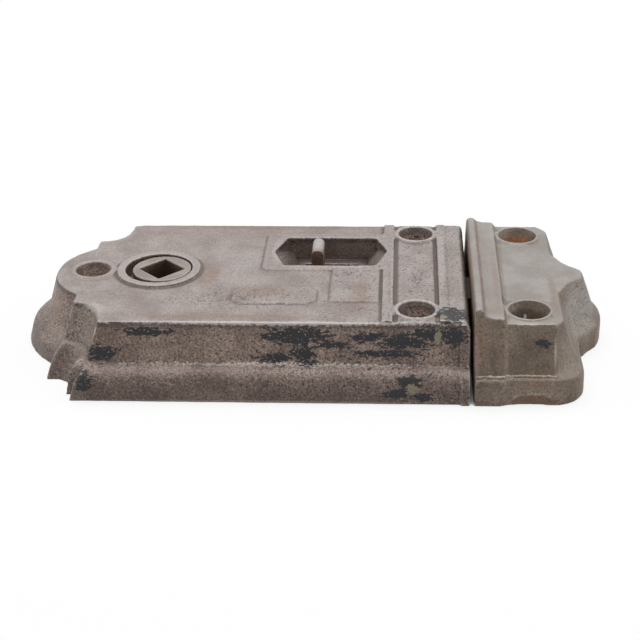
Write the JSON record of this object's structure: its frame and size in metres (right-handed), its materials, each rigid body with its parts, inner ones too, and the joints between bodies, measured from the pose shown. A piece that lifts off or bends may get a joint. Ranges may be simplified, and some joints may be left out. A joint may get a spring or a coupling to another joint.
{
  "type": "rim latch with night bolt",
  "caption": "Surface-mounted cast iron door latch with coved rear corners, a square spindle hub, a spring latch, a thumb-slide night bolt and a flared keeper with a raised lip.",
  "frame": {"origin": "on the spindle axis, in the plane of the door face that the back lies against", "axes": "+X along the latch's throw towards the keeper, +Y across the lock to the far long side, +Z out of the door"},
  "size_m": [0.1444, 0.0748, 0.0202],
  "materials": {
    "cast_iron_case": "worn bare casting with remnants of black paint",
    "cast_iron_keeper": "worn bare casting with light rust",
    "worn_iron": "rubbed bright",
    "inner_iron": "dull casting",
    "plate_steel": "dull browned sheet",
    "fastener_steel": "plain worn",
    "spring_steel": "blued"
  },
  "bodies": {
    "lock": {"case": "cast_iron_case", "back_plate": "plate_steel", "back_plate_screws": "fastener_steel", "hub_washer": "fastener_steel", "latch_spring": "spring_steel", "spring_rod": "fastener_steel", "spring_post": "inner_iron", "latch_guide_strap": "plate_steel", "strap_rivets": "fastener_steel", "bolt_guide_stud": "fastener_steel", "bolt_leaf_spring": "spring_steel", "leaf_spring_post": "fastener_steel"},
    "hub": {"spindle_hub": "worn_iron"},
    "latch": {"latch_yoke": "inner_iron", "latch_head": "worn_iron", "latch_rivets": "fastener_steel"},
    "night_bolt": {"night_bolt": "worn_iron", "thumb_slide": "worn_iron", "thumb_rivet": "fastener_steel"},
    "keeper": {"keeper": "cast_iron_keeper"}
  },
  "joints": [
    {"name": "hub_turn", "type": "hinge", "parent": "lock", "child": "hub", "pos_m": [0, 0, 0], "axis": [0, 0, 1], "range_deg": [0, 49]},
    {"name": "latch_slide", "type": "slide", "parent": "lock", "child": "latch", "axis": [1, 0, 0], "range_m": [-0.0094, 0], "stiffness_N_per_m": 60, "springref_m": 0.01, "deforming": ["latch_spring"]},
    {"name": "bolt_slide", "type": "slide", "parent": "lock", "child": "night_bolt", "axis": [1, 0, 0], "range_m": [-0.002, 0.0085]},
    {"name": "keeper_slide", "type": "slide", "parent": "lock", "child": "keeper", "axis": [1, 0, 0], "range_m": [0, 0.03]}
  ],
  "couplings": [
    {"joint": "hub_turn", "follows": "latch_slide", "rad_per_m": -90.9}
  ]
}
